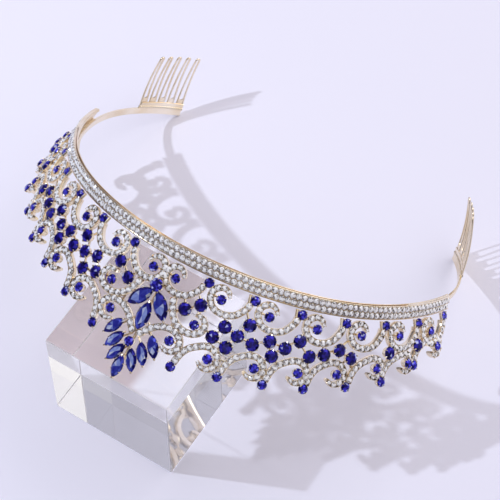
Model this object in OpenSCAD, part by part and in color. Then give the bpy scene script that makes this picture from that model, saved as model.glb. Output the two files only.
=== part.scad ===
// Crystal tiara with blue stones, resting upside down on a clear block.
// The tiara is drawn in its own frame: X to the right, Y to the back of the head and
// Z away from the ornament, with the origin on the band's edge at the front.
// "along" is a distance round the band from its centre, "down" a distance from the band
// to the ornament's points, and "out" a distance off the ornament's face.

/* [Band] */
// Height of the band's face, with two rows of stones
band_h = 4.7; // [3:0.1:7]
// How far the band's top edge leans in
band_lean = 1.1; // [0:0.1:2]
// Depth of the band's channel at its top flange
band_depth = 1.9; // [1.4:0.1:2.5]
// Thickness of the channel's face
band_wall = 0.9; // [0.6:0.1:1.2]
// Thickness of the channel's flanges and edge rims
flange_t = 0.6; // [0.4:0.1:0.9]
// How deep the stone rows lie behind the rims
seat_depth = 0.3; // [0.1:0.05:0.5]
// Distance round the band from the centre to one end
band_reach = 108; // [90:1:118]

/* [Head strip] */
// Height of the flat strip behind the band
strip_h = 2.3; // [1.5:0.1:3.5]
// Thickness of the strip
strip_t = 0.8; // [0.5:0.1:1.2]
// Distance round the strip from the centre to one end
strip_reach = 155; // [140:1:160]

/* [Combs] */
// Teeth in each comb
tooth_count = 5; // [4:1:6]
// Length of a tooth
tooth_len = 23; // [15:0.5:26]
// Width of a tooth at its root
tooth_root_w = 3.2; // [2.4:0.1:3.4]
// Width of a tooth at its tip
tooth_tip_w = 2; // [1.4:0.1:2.4]
// Thickness of a tooth
tooth_t = 0.9; // [0.6:0.1:1.2]
// How far the teeth lean in, in degrees
tooth_lean = 12; // [0:1:20]
// How far the teeth lean to the front, in degrees
tooth_rake = 8; // [0:1:12]
// Distance between two teeth
tooth_pitch = 4.3; // [3.8:0.1:4.6]
// Thickness of the comb's round spine
spine_d = 1.5; // [1:0.1:2]

/* [Ornament] */
// Lean of the ornament's face at the centre, in degrees
lean_centre = 18.3; // [10:0.1:25]
// Growth of that lean for each millimetre round the band, in degrees
lean_rate = 0.085; // [0:0.005:0.12]
// Width of a scroll
scroll_w = 2.3; // [1.6:0.1:2.6]
// Width of a scroll at its pointed end
scroll_tip_w = 0.9; // [0.6:0.1:1.4]
// Thickness of the scrolls behind the face
scroll_back = 2; // [1:0.1:2.4]
// Height of the scrolls in front of the face
scroll_front = 0.2; // [0:0.05:0.5]
// How much lower the outer row of scrolls stands
scroll_step = 0.15; // [0:0.05:0.3]
// Width of the small bars between the settings
link_w = 0.8; // [0.6:0.1:1.2]
// Scroll pieces between two knots of a path
scroll_steps = 1; // [1:1:3]

/* [Stones] */
// Diameter of a small round stone
small_d = 2.9; // [2.4:0.1:3.2]
// Diameter of a large round stone
large_d = 4.1; // [3:0.1:4.2]
// Length and width of the three upper marquise stones
petal_size = [9.5, 4.5];
// Length and width of the seven fan marquise stones
leaf_size = [7.4, 3.5];
// Sides of a round stone
stone_sides = 8; // [8:1:12]
// Gap between a stone and its setting
stone_gap = 0.12; // [0.1:0.01:0.3]

/* [Pose and block] */
// Tilt of the tiara's own Z from upright, in degrees
tilt = 38.1; // [30:0.1:45]
// Width, depth and height of the clear block
block_size = [46, 46, 44.5];
// Sideways place of the block's middle
block_x = -2.7; // [-6:0.1:6]
// Place of the block's front face before the whole is centred
block_front_y = -35.2; // [-45:0.1:-30]
// Place of the whole's middle along Y before it is centred
middle_y = 30.5; // [20:0.1:40]

/* [Hidden] */
// The band's plan as tangent arcs: their radii, and the heading where two of them meet
arc_radii = [73, 66, 82, 63.25];
// Columns: sine, cosine of the heading
arc_joints = [[0.5376, 0.8432], [0.8432, 0.5376], [0.99712, 0.07584]];
arc_reach = 125;
// Distance between two upper scrolls, and the first one's round stone
upper_pitch = 15.3;
upper_first = 4;
upper_count = 7;
curl_down = 5.1;
curl_out = 0.5;
// An upper scroll's centre line from its round stone. Columns: along, down
upper_knots = [[2.3, -1.3], [1.1, -3.1], [-1, -3.6], [-3.1, -2.1], [-3.4, 0.6], [-1.6, 3.2],
    [1.7, 4.1], [5.4, 3], [8, 0], [8.7, -2.15]];
// The stone at an upper scroll's foot, and its stem's two ends. Columns: along, down
near_offset = [9.85, -3.3];
near_out = -0.5;
curl_bar = [-3.3, -0.4];
eye_bar = [2.6, 0.4];
stem_top = [8, -6.3];
stem_foot = [8.5, -1];
next_edge = [12, -0.9];
// Stones at the lower scrolls' feet. Columns: along, down, out
foot_stones = [[13.1, 30.5, -0.7], [26, 27.9, -0.7], [38.5, 25.9, -0.7], [50.1, 24.2, -0.7],
    [62.8, 21.7, -0.7], [74.4, 19.6, 0.2], [87.6, 15.1, 0.2]];
// Stones inside the lower scrolls. Columns: along, down, size of the curl round it
eye_stones = [[21.8, 23.7, 1], [34.7, 21.6, 1], [47.1, 19.6, 1], [58.7, 18, 1], [72, 15.3, 0.9],
    [84.5, 14.1, 0.85], [99, 10.4, 0.95]];
eye_out = 0.7;
// A lower scroll's start from its foot stone, and its curl from its eye stone. Columns: along, down
leg_start = [0.4, -1.45];
// Its leg between the two. Columns: share of the way along, share of the way down
leg_shares = [[0.16, 0.47], [0.36, 0.72], [0.68, 0.9]];
curl_knots = [[-1.3, -3.5], [1, -3.1], [2.5, -1.4], [2.7, 0.8], [1.4, 2.8], [-0.7, 3.2], [-2.4, 1.9]];
// The two centre scrolls of each side. Columns: along, down
frame_scroll = [[5.9, 10.6], [6.6, 13], [7.9, 15.6], [9.8, 17.6], [12.4, 18.7], [15.1, 18.5],
    [17.2, 17], [17.7, 14.8], [16.4, 12.7], [13.9, 12.6]];
frame_stone = [14.6, 15.7];
fan_scroll = [[0.7, 26.2], [2.1, 24.5], [3.5, 22.6], [5.4, 20.9], [7.9, 19.9], [10.6, 20.1],
    [12.5, 21.6], [13.1, 23.9], [12.2, 25.8], [10.3, 26.6], [8.5, 25.9]];
fan_stone = [10, 23.3];
// Large round stones of one side. Columns: along, down, out
round_stones = [[10.2, 12.4, -0.8], [14.3, 9.1, 0.5], [20.8, 16.9, -1], [23.2, 12.6, -0.8],
    [25.5, 18.5, -1], [27.5, 13.8, 0], [29.9, 9.4, 0.3], [32.3, 14.8, 0.2], [36.9, 12.3, 0],
    [38.5, 16.5, 0.6], [41.8, 13.1, 0.2], [45.5, 9.8, 0.5], [49.5, 13.9, 0.2], [53.8, 12.5, 0.2],
    [58.6, 10.4, 0], [62.7, 12.5, 0.3], [76.8, 10.4, 0.3], [89.2, 8.7, 0.3]];
// The first of these have nodes of their own
round_nodes = 12;
// Bars between two large stones. Columns: one stone, the other
round_bars = [[0, 1], [2, 3], [2, 4], [3, 5], [4, 5], [5, 6], [5, 7], [7, 8], [8, 9], [8, 10],
    [9, 10], [10, 11], [11, 12], [12, 13], [13, 14], [14, 15]];
// Bars from a large stone to a scroll. Columns: stone, along, down
scroll_bars = [[0, 7.8, 14.6], [0, 8.6, 9.2], [1, 12.5, 6.7], [2, 18, 15.4], [3, 22, 9.6],
    [4, 22.2, 20.4], [6, 27.8, 5.9], [7, 32.6, 17.5], [8, 37, 9.3], [9, 37.1, 19.6], [9, 41.4, 18.2],
    [11, 47.2, 7.3], [12, 46.6, 16.4], [13, 53.6, 8.9], [14, 62.3, 6.6], [15, 60.4, 15.2],
    [15, 64.2, 15.9], [16, 79.5, 9], [16, 77.5, 13], [17, 94.5, 9], [17, 90.8, 10.9], [17, 90.8, 6.6]];
// Plain bars that tie the scrolls together. Columns: along, down of one end, then of the other
tie_bars = [[4.8, 9, 6, 11.4], [8.2, 16.2, 8.6, 20], [13.2, 18.7, 11, 20.2], [12.8, 24.6, 14.8, 24.9],
    [3.2, 22.8, 2, 21.4], [2.6, 24, 4.6, 24.6], [8.6, 26, 7.6, 27], [14.1, 12.6, 14.9, 11.2],
    [24.6, 22.6, 27.4, 22.6], [37.2, 22.2, 39.4, 21.6], [49.4, 20.6, 51.4, 19.4],
    [61, 18.6, 63.2, 17.8], [74.7, 15.6, 76.6, 15.2], [87.4, 13.2, 89, 12.4], [1.2, 5, 0, 5],
    [3.5, 15, 7.6, 15], [6.5, 27.3, 3.2, 23.4], [4.5, 30.8, 0.9, 26.4], [2.5, 34.1, 0, 30]];
// Marquise stones of one side. Columns: along, down, turn, out
petal_side = [3.5, 15, 38, 0.3];
leaf_sides = [[6.5, 27.3, 32, 0.1], [4.5, 30.8, 30, 0.1], [2.5, 34.1, 27, 0.1]];
// Centre stones, from the band to the point. Columns: down, out
top_round = [9.4, 2.2];
middle_petal = [20, 0.3];
fan_round = [29, 1.7];
tip_leaf = [38, 1];
// The tip leaf's setting is shallower, so that it stays clear of the block
tip_back = 0.6;
// The gold point that rests on the block. Columns: down, out
tip_point = [42.3, 0.7];
tip_d = 0.8;

stone_crown = 0.3;
stone_body = 0.24;
table_share = 0.55;
culet_share = 0.6;
cup_wall = 0.2;
cup_foot = 0.9;
cup_back = 1.8;
cup_sides = 6;
scroll_taper = 3;
bar_back = 1.7;
bar_front = 1.2;
solder_gap = 0.05;
strip_low = -0.3;
strip_out = 0.2 - (band_lean + band_depth);
strip_mid_out = strip_out - strip_t / 2;
comb_middle = strip_reach - 1.5 - (tooth_count - 1) * tooth_pitch / 2;
spine_reach = (tooth_count - 1) * tooth_pitch / 2 + tooth_root_w / 2;
spine_low = strip_low + strip_h - 0.4;
arc_sides = 180;
floor_drop = 67.98;

gold = "khaki";
blue = "royalblue";

function arc_centre(i) = i == 0 ? [0, arc_radii[0]]
    : arc_centre(i - 1) + (arc_radii[i - 1] - arc_radii[i]) * [arc_joints[i - 1][0], -arc_joints[i - 1][1]];
function heading(i) = i < 0 ? 0 : atan2(arc_joints[i][0], arc_joints[i][1]);
function arc_length(i) = (heading(i) - heading(i - 1)) * PI / 180 * arc_radii[i];
// Place and heading round the band's plan, for a distance from the centre
function plan(d, i = 0) =
    i == len(arc_joints) || d <= arc_length(i)
        ? let (h = heading(i - 1) + d / arc_radii[i] * 180 / PI, c = arc_centre(i))
            [c.x + arc_radii[i] * sin(h), c.y - arc_radii[i] * cos(h), h]
        : plan(d - arc_length(i), i + 1);
function lean(a) = lean_centre + lean_rate * abs(a);
function across(h) = [cos(h), sin(h), 0];
function outward(h) = [sin(h), -cos(h), 0];
function face_normal(a, h) = cos(lean(a)) * outward(h) + [0, 0, sin(lean(a))];
function face_up(a, h) = -sin(lean(a)) * outward(h) + [0, 0, cos(lean(a))];
// A point on the ornament's face: along, down, out
function spot(a, d, o = 0) =
    let (q = plan(abs(a)), s = sign(a) < 0 ? -1 : 1, h = s * q[2])
    [s * q.x, q.y, 0] - d * face_up(a, h) + o * face_normal(a, h);
function unit(v) = v / norm(v);
// A smooth curve through knots, with a number of pieces between two knots
function knot(k, i) = k[max(0, min(len(k) - 1, i))];
function between(k, i, t) =
    let (a = knot(k, i - 1), b = knot(k, i), c = knot(k, i + 1), d = knot(k, i + 2))
    0.5 * (2 * b + (c - a) * t + (2 * a - 5 * b + 4 * c - d) * t * t
        + (3 * b - a - 3 * c + d) * t * t * t);
function smooth(k, n) = concat(
    [for (i = [0:len(k) - 2]) for (j = [0:n - 1]) between(k, i, j / n)],
    [k[len(k) - 1]]);

module in_place()
    translate([0, -middle_y, floor_drop]) rotate([-tilt, 0, 0]) children();

module both_sides() {
    children();
    mirror([1, 0, 0]) children();
}

// Puts a piece on the face, its Z along the face's normal and its Y to the band
module on_face(a, d, o = 0) {
    h = plan(a)[2];
    p = spot(a, d, o);
    x = across(h);
    y = face_up(a, h);
    z = face_normal(a, h);
    multmatrix([[x.x, y.x, z.x, p.x], [x.y, y.y, z.y, p.y], [x.z, y.z, z.z, p.z], [0, 0, 0, 1]])
        children();
}

// A profile drawn as out, height, swept round the plan from one heading to another on the right
module sweep_plan(from, to)
    for (i = [0:len(arc_radii) - 1]) {
        first = i == 0 ? 0 : heading(i - 1);
        last = i < len(arc_joints) ? heading(i) : 180;
        a = max(from, first);
        b = min(to, last);
        if (b > a) intersection() {
            translate(arc_centre(i)) rotate_extrude($fn = arc_sides) translate([arc_radii[i], 0]) children();
            translate(arc_centre(i)) translate([0, 0, -10]) linear_extrude(30)
                polygon([[0, 0], way(a), arc_reach * 1.2 * [sin((a + b) / 2), -cos((a + b) / 2)], way(b)]);
        }
    }
function on_joint(h) = [for (j = arc_joints) if (abs(atan2(j[0], j[1]) - h) < 0.01) j];
function way(h) = len(on_joint(h)) > 0 ? arc_reach * [on_joint(h)[0][0], -on_joint(h)[0][1]]
    : arc_reach * [sin(h), -cos(h)];

module band_profile() {
    function face(z, o = 0) = [-band_lean * z / band_h - o, z];
    back = -(band_lean + band_depth);
    polygon([face(0), face(flange_t / 2), face(flange_t / 2, seat_depth),
        face(band_h - flange_t / 2, seat_depth), face(band_h - flange_t / 2), face(band_h),
        [back, band_h], [back, band_h - flange_t],
        face(band_h - flange_t, seat_depth + band_wall), face(flange_t, seat_depth + band_wall),
        [back, flange_t], [back, 0]]);
}

// The band's channel with the flat strip behind it and the two combs, one soldered piece
module head_band() color(gold) in_place() both_sides() {
    sweep_plan(0, plan(band_reach)[2]) band_profile();
    sweep_plan(0, plan(strip_reach)[2])
        translate([strip_out - strip_t, strip_low]) square([strip_t, strip_h]);
    comb();
}

module tooth_outline() {
    root = tooth_root_w / 2;
    tip = tooth_tip_w / 2;
    slot_root = root - 0.8;
    slot_tip = tip - 0.6;
    slot_low = 4;
    difference() {
        union() {
            polygon([[-root, 0], [root, 0], [tip, tooth_len - tip], [-tip, tooth_len - tip]]);
            translate([0, tooth_len - tip]) circle(tip, $fn = 24);
        }
        polygon([[-slot_root, slot_low], [slot_root, slot_low],
            [slot_tip, tooth_len - tip], [-slot_tip, tooth_len - tip]]);
        translate([0, slot_low]) circle(slot_root, $fn = 24);
        translate([0, tooth_len - tip]) circle(slot_tip, $fn = 24);
    }
}

// One comb on the right side: a round spine on the strip and its slotted teeth
module comb() {
    spine_z = spine_low + spine_d / 2;
    sweep_plan(plan(comb_middle - spine_reach)[2], plan(comb_middle + spine_reach)[2])
        translate([strip_mid_out, spine_z]) circle(d = spine_d, $fn = 24);
    for (i = [0:tooth_count - 1]) {
        q = plan(comb_middle + (i - (tooth_count - 1) / 2) * tooth_pitch);
        translate([q.x, q.y, 0] + strip_mid_out * outward(q[2]) + [0, 0, spine_z])
            rotate([0, 0, q[2]]) rotate([-tooth_lean, 0, 0]) rotate([0, -tooth_rake, 0])
            rotate([90, 0, 0]) translate([0, 0, -tooth_t / 2])
            linear_extrude(tooth_t) tooth_outline();
    }
}

// One solid of rings along places on the face. Columns: along, down, half width
module ribbon(path, back, front, ridged = false) {
    n = len(path);
    places = [for (p = path) spot(p[0], p[1])];
    rings = [for (i = [0:n - 1])
        let (ahead = unit(places[min(n - 1, i + 1)] - places[max(0, i - 1)]))
        let (normal = face_normal(path[i][0], plan(path[i][0])[2]))
        let (side = path[i][2] * unit(cross(normal, ahead)))
        each concat(
            ridged ? [places[i] - back * normal]
                : [places[i] - side - back * normal, places[i] + side - back * normal],
            [places[i] + side + front * normal, places[i] - side + front * normal])];
    m = ridged ? 3 : 4;
    polyhedron(rings, concat([[for (j = [0:m - 1]) j]], [[for (j = [m - 1:-1:0]) m * (n - 1) + j]],
        [for (i = [0:n - 2]) for (j = [0:m - 1])
            [m * i + j, m * i + m + j, m * i + m + (j + 1) % m, m * i + (j + 1) % m]]));
}

// A scroll along knots, thinner to its last knot
module scroll(knots, step = 0) {
    path = smooth(knots, scroll_steps);
    n = len(path);
    taper = scroll_taper * scroll_steps;
    function half(i) = i < taper
        ? (scroll_tip_w + (scroll_w - scroll_tip_w) * sqrt(i / taper)) / 2 : scroll_w / 2;
    ribbon([for (i = [0:n - 1]) [path[i].x, path[i].y, half(n - 1 - i)]], scroll_back - step, scroll_front - step);
}

// A small bar between two places on the face
module bar(from, to, ridged = true)
    ribbon([[from[0], from[1], link_w / 2], [to[0], to[1], link_w / 2]], bar_back, -bar_front, ridged);

// The cup behind a round stone
module cup(a, d, o, size) hull()
    on_face(a, d, -cup_back) rotate([0, 0, 180 / cup_sides])
        cylinder(h = o - stone_gap + cup_back, d1 = size * cup_foot, d2 = size + 2 * cup_wall, $fn = cup_sides);

function upper_at(i) = [upper_first + i * upper_pitch, curl_down];
function shifted(knots, by) = [for (k = knots) k + by];
function reversed(knots) = [for (i = [len(knots) - 1:-1:0]) knots[i]];

module upper_scrolls()
    for (i = [0:upper_count - 1]) {
        c = upper_at(i);
        scroll(reversed(shifted(upper_knots, c)));
        bar(c, c + curl_bar);
        bar(c + stem_top, c + stem_foot);
        if (i < upper_count - 1) bar(c + near_offset, c + next_edge);
        cup(c.x, c.y, curl_out, small_d);
        cup(c.x + near_offset.x, c.y + near_offset.y, near_out, small_d);
    }

module lower_scrolls()
    for (i = [0:len(foot_stones) - 1]) {
        foot = [foot_stones[i].x, foot_stones[i].y];
        eye = [eye_stones[i].x, eye_stones[i].y];
        size = eye_stones[i][2];
        way = eye + size * curl_knots[0] - foot;
        scroll(concat([foot + leg_start], [for (s = leg_shares) foot + [s.x * way.x, s.y * way.y]],
            shifted(size * curl_knots, eye)), (i % 2 + 1) * scroll_step);
        bar(eye, eye + size * eye_bar);
        cup(foot.x, foot.y, foot_stones[i][2], small_d);
        cup(eye.x, eye.y, eye_out, small_d);
    }

module centre_scrolls() {
    scroll(frame_scroll, -scroll_step);
    scroll(fan_scroll, -2 * scroll_step);
    bar(frame_stone, [17.6, 15.4]);
    bar(fan_stone, [13, 23.2]);
    cup(frame_stone.x, frame_stone.y, -0.8, small_d);
    cup(fan_stone.x, fan_stone.y, 0.2, small_d);
}

module round_settings() {
    for (s = round_stones) cup(s[0], s[1], s[2], large_d);
    for (b = round_bars) bar(round_stones[b[0]], round_stones[b[1]]);
    for (b = scroll_bars) bar(round_stones[b[0]], [b[1], b[2]]);
    for (b = tie_bars) bar([b[0], b[1]], [b[2], b[3]]);
}

// Outline of a marquise stone from two crossing circles
function lens(size, n = 4) =
    let (half = size[0] / 2, rise = size[1] / 2)
    let (r = (half * half + rise * rise) / (2 * rise), reach = asin(half / r))
    concat([for (i = [0:n - 1]) let (a = reach * (2 * i / n - 1)) [r * cos(a) - (r - rise), r * sin(a)]],
        [for (i = [0:n - 1]) let (a = reach * (1 - 2 * i / n)) [(r - rise) - r * cos(a), r * sin(a)]]);

module marquise_setting(a, d, turn, o, size, back = scroll_back)
    on_face(a, d, -back) rotate([0, 0, turn])
        linear_extrude(back + o - stone_gap - size[1] * stone_body)
        scale(0.8) polygon(lens(size, 3));

module fan_settings() {
    marquise_setting(petal_side[0], petal_side[1], petal_side[2], petal_side[3], petal_size);
    for (l = leaf_sides) marquise_setting(l[0], l[1], l[2], l[3], leaf_size);
}

// Bars on the centre line, from the band's first scrolls down to the gold point
module spine_settings() {
    marquise_setting(0, middle_petal[0], 0, middle_petal[1], petal_size);
    marquise_setting(0, tip_leaf[0], 0, tip_leaf[1], leaf_size, tip_back);
    cup(0, top_round[0], top_round[1], large_d);
    cup(0, fan_round[0], fan_round[1], small_d);
    bar([0, 6], [0, 16.5], false);
    bar([0, 23], [0, 37.6], false);
    hull() {
        on_face(0, tip_leaf[0], -scroll_back) cylinder(h = 1, d = 2 * tip_d, $fn = 6);
        on_face(0, tip_point[0] - tip_d / 2, tip_point[1] - tip_d) cylinder(h = tip_d, d = tip_d, $fn = 6);
    }
}

module scrollwork() color(gold) in_place() difference() {
    union() {
        both_sides() {
            upper_scrolls();
            lower_scrolls();
            centre_scrolls();
            round_settings();
            fan_settings();
        }
        spine_settings();
    }
    translate([-band_reach, -band_reach / 2, -solder_gap]) cube([2 * band_reach, 2 * band_reach, band_h]);
}

// A round cut stone: flat table, eight crown facets and a flat base
module round_stone(a, d, o, size)
    on_face(a, d, o) rotate([0, 0, 180 / stone_sides])
        cylinder(h = size * stone_crown, d1 = size, d2 = size * table_share, $fn = stone_sides);

// A marquise cut stone: flat table, crown facets and a tapered base
module marquise_stone(a, d, turn, o, size)
    on_face(a, d, o) rotate([0, 0, turn]) {
        linear_extrude(size[1] * stone_crown, scale = table_share) polygon(lens(size));
        mirror([0, 0, 1]) linear_extrude(size[1] * stone_body, scale = culet_share) polygon(lens(size));
    }

module stone(side) color(blue, 0.8) in_place() mirror([side < 0 ? 1 : 0, 0, 0]) children();
module large_round(s) round_stone(s[0], s[1], s[2], large_d);

module outer_stones(side) stone(side) {
    for (i = [round_nodes:len(round_stones) - 1]) large_round(round_stones[i]);
    for (i = [0:upper_count - 1]) {
        c = upper_at(i);
        round_stone(c.x, c.y, curl_out, small_d);
        round_stone(c.x + near_offset.x, c.y + near_offset.y, near_out, small_d);
    }
    for (s = foot_stones) round_stone(s[0], s[1], s[2], small_d);
    for (s = eye_stones) round_stone(s.x, s.y, eye_out, small_d);
    round_stone(frame_stone.x, frame_stone.y, -0.8, small_d);
    round_stone(fan_stone.x, fan_stone.y, 0.2, small_d);
}

module display_block() color("lightcyan", 0.5)
    translate([block_x - block_size.x / 2, block_front_y - middle_y, 0]) cube(block_size);

display_block();
head_band();
scrollwork();
stone(1) round_stone(0, top_round[0], top_round[1], large_d);
stone(1) round_stone(0, fan_round[0], fan_round[1], small_d);
stone(1) marquise_stone(0, middle_petal[0], 0, middle_petal[1], petal_size);  // petal_middle
stone(1) marquise_stone(0, tip_leaf[0], 0, tip_leaf[1], leaf_size);  // leaf_tip
for (side = [-1, 1]) {
    hand = side < 0 ? "left" : "right";
    stone(side) marquise_stone(petal_side[0], petal_side[1], petal_side[2], petal_side[3], petal_size);
    for (i = [0:len(leaf_sides) - 1]) {
        l = leaf_sides[i];
        stone(side) marquise_stone(l[0], l[1], l[2], l[3], leaf_size);
    }
    for (i = [0:round_nodes - 1])
        stone(side) large_round(round_stones[i]);
    outer_stones(side);
}
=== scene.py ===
"""Crystal tiara with blue stones, resting upside down on a clear block."""
import math
import random

import bmesh
import bpy
from mathutils import Matrix, Vector


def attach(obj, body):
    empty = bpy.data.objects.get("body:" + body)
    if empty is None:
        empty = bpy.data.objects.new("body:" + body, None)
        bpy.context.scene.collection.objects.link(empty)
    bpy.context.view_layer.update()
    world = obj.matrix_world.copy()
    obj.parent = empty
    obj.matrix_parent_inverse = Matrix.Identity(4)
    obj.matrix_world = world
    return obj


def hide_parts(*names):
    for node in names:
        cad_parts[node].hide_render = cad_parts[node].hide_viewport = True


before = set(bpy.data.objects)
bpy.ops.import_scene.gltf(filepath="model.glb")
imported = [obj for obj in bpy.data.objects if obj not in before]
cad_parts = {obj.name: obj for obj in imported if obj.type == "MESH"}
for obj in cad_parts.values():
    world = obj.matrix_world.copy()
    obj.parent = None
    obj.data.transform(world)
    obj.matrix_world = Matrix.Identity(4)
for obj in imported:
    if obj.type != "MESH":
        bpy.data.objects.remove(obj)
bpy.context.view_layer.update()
MM = 0.001

# Lengths are in millimetres and angles in degrees, unless a line says otherwise.
# The tiara's own frame: X right, Y back, Z away from the ornament.
# "along" is a distance round the band, "down" one from the band to the ornament's
# points, and "out" one off the ornament's face.
TILT = 38.1
SHIFT = Vector((0, -30.5, 67.98))

# The clear block, in the shared frame
BLOCK_MIDDLE = (-2.7, -42.7)
BLOCK_SIZE = (46, 46, 44.5)
BLOCK_SHRINK = 0.04
BLOCK_BEVEL = 0.2
BLOCK_INDEX = 1.49

# The part of a side face that lets light out to the table: its top, and where it starts
PATCH_TOP = (21.3, 23.3)
PATCH_FRONT = (-57, -55.6)
PATCH_LEFT = (-3, -1)
# The part of the table under the block that the light from its top reaches
BASE_LEFT = (-4.6, -1.4)
BASE_FRONT = (-54.5, -53.3)
# How far from a face its own colour fades in
TOP_SKIN = (0.3, 0.2)
SIDE_SKIN = (0.2, 0.1)
BASE_SKIN = (0.1, 0.2)
# Colours that the light takes at a clear face, at a dark one, and at the base where light lands
# and where none does. Set by place, they paint the block's shadow and the bright patch beside it
# on the table. The lit base is above one, for light that the block gathers inside it.
BLOCK_CLEAR = (1.0, 1.0, 1.0, 1)
BLOCK_SHADOW = (0.28, 0.27, 0.27, 1)
LIT_BASE = (1.3, 1.32, 1.3, 1)
UNDER_BLOCK = (0.92, 0.81, 0.76, 1)
# The tint of the block seen through its top
TOP_TINT = (0.98, 0.96, 0.935, 1)

# The band's plan as tangent arcs
ARC_RADII = [73, 66, 82, 63.25]
# Sine and cosine of the heading where two arcs meet
ARC_JOINTS = [(0.5376, 0.8432), (0.8432, 0.5376), (0.99712, 0.07584)]
# How far the ornament leans back at the centre, and how much more with each millimetre along
LEAN_CENTRE = 18.3
LEAN_RATE = 0.085
# The band leans back this far over its height, and reaches this far on both sides
BAND_LEAN = 1.1
BAND_HEIGHT = 4.7
BAND_REACH = 108
# The groove along the band's top runs as far as this from the centre
GROOVE_REACH = 84
GROOVE_FLOOR = 3.95
GROOVE_FILLED = 4.6
# The band's section. Columns: out, height
BAND_SECTION = [(-3, 0), (-0.15, 0), (0, 0.1), (-0.03, 0.24), (-0.26, 0.29), (-0.1, 0.36), (-0.14, 0.46),
                (-0.65, 0.5), (-1.5, 4.2), (-1.02, 4.25), (-0.97, 4.33), (-1.04, 4.55), (-1.12, 4.6),
                (-1.24, 4.6), (-1.3, GROOVE_FLOOR), (-1.82, GROOVE_FLOOR), (-1.9, 4.62), (-1.97, 4.68),
                (-2.26, 4.68), (-2.34, 4.6), (-2.6, 3.9), (-2.1, 3.7), (-1.35, 0.64), (-3, 0.6)]
BAND_SWEEP = 1.5
# The strip behind the band. Columns: out, height
STRIP_REACH = 155
STRIP_SECTION = [(-3.52, -0.3), (-2.88, -0.3), (-2.8, -0.22), (-2.8, 1.92), (-2.88, 2), (-3.52, 2),
                 (-3.6, 1.92), (-3.6, -0.22)]

# The band's two rows of clear stones. Columns: height on the band, shift as a share of a pitch
BAND_ROWS = [(1.4, 0.5), (3.32, 0.0)]
CLEAR_PITCH = 1.98
BAND_STONE = 1.96
BAND_STONE_OUT = -0.06
BAND_BEAD = 0.2
BAND_BEAD_OFFSET = 0.86
BAND_BEAD_OUT = 0.05

# The combs
COMB_MIDDLE = 144.9
COMB_REACH = 10.2
COMB_OUT = -3.2
SPINE_HEIGHT = 2.35
SPINE_RADIUS = 0.75
SPINE_SIDES = 10
SPINE_SWEEP = 0.2
ROOT_SWEEP = 1
# The share by which the spine's radius swings, and the length of a swing
SPINE_SWING = 0.1
SPINE_PITCH = 1.1
# The plate between the spine and the teeth. Columns: across its thickness, height
COMB_ROOT = [(-0.28, 0), (0.28, 0), (0.28, 2), (0, 2.15), (-0.28, 2)]
TOOTH_COUNT = 5
TOOTH_PITCH = 4.3
TOOTH_LENGTH = 23
TOOTH_LEAN = 12
# How far the first tooth rakes sideways, and how much less each next one does
TOOTH_RAKE = 8
TOOTH_FAN = 0.9
TOOTH_BOW = 0.9
TOOTH_STEPS = 14
TOOTH_BEND = range(30, 180, 30)
# Half the width of a tooth at its root and its tip, and the radius of its wire
TOOTH_ROOT = 1.6
TOOTH_TIP = 1.0
TOOTH_WIRE = 0.36
# The plate that closes a tooth's slot. Columns: across, height
TOOTH_PLATE = [(-1.3, 0), (1.3, 0), (1.15, 4.6), (0.75, 4.05), (0, 3.75), (-0.75, 4.05), (-1.15, 4.6)]
PLATE_HALF = 0.2

# Scrolls
CURVE_STEPS = 8
SCROLL_WIDTH = 2.3
TIP_WIDTH = 0.8
TAPER_LENGTH = 5.5
SCROLL_STEP = 0.15
# Half-section of a scroll. Columns: share of the half width, out
SCROLL_SECTION = [(0.6, -0.6), (0.8, -0.1), (0.86, 0.16), (0.95, 0.16), (1.0, -0.05), (0.97, -1.3),
                  (0.7, -1.85)]
# A scroll's clear stones: how far the first lies from its start and the last from its end,
# the largest size, the share of the scroll's width, and the gap between two
CLEAR_START = 1.05
CLEAR_END = 0.3
CLEAR_LARGEST = 2.0
CLEAR_SHARE = 0.87
CLEAR_GAP = 0.02
# The beads between them: ahead as a share of a stone, aside and radius as shares of the width
BEAD_AHEAD = 0.52
BEAD_ASIDE = 0.36
BEAD_SHARE = 0.11
BEAD_OUT = 0.16
BEAD_SIDES = 8
BEAD_TILTS = (-75, -35, 0, 35, 75)

UPPER_PITCH = 15.3
UPPER_FIRST = (4, 5.1)
UPPER_COUNT = 7
CURL_OUT = 0.5
# Columns: along, down from the round stone
UPPER_KNOTS = [(2.3, -1.3), (1.1, -3.1), (-1, -3.6), (-3.1, -2.1), (-3.4, 0.6), (-1.6, 3.2),
               (1.7, 4.1), (5.4, 3), (8, 0), (8.7, -2.15)]
UPPER_BAR = (-3.3, -0.4)
NEAR_OFFSET = (9.85, -3.3)
NEAR_OUT = -0.5
NEAR_BAR = (12, -0.9)
# The stem from the band to an upper scroll. Columns: along from the near stone, down, out, radius
STEM = [(-2, 0.3, -0.6, 0.55), (-1.9, 2, -0.5, 0.5), (-1.5, 4.2, -0.6, 0.5)]
# Columns: along, down, out
FOOT_STONES = [(13.1, 30.5, -0.7), (26, 27.9, -0.7), (38.5, 25.9, -0.7), (50.1, 24.2, -0.7),
               (62.8, 21.7, -0.7), (74.4, 19.6, 0.2), (87.6, 15.1, 0.2)]
# Columns: along, down, size of the curl round it
EYE_STONES = [(21.8, 23.7, 1), (34.7, 21.6, 1), (47.1, 19.6, 1), (58.7, 18, 1), (72, 15.3, 0.9),
              (84.5, 14.1, 0.85), (99, 10.4, 0.95)]
EYE_OUT = 0.7
EYE_BAR = (2.6, 0.4)
# A leg runs from beside its foot stone to the curl. Columns of the shares: along, down
LEG_START = (0.4, -1.45)
LEG_SHARES = [(0.16, 0.47), (0.36, 0.72), (0.68, 0.9)]
CURL_KNOTS = [(-1.3, -3.5), (1, -3.1), (2.5, -1.4), (2.7, 0.8), (1.4, 2.8), (-0.7, 3.2), (-2.4, 1.9)]
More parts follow.
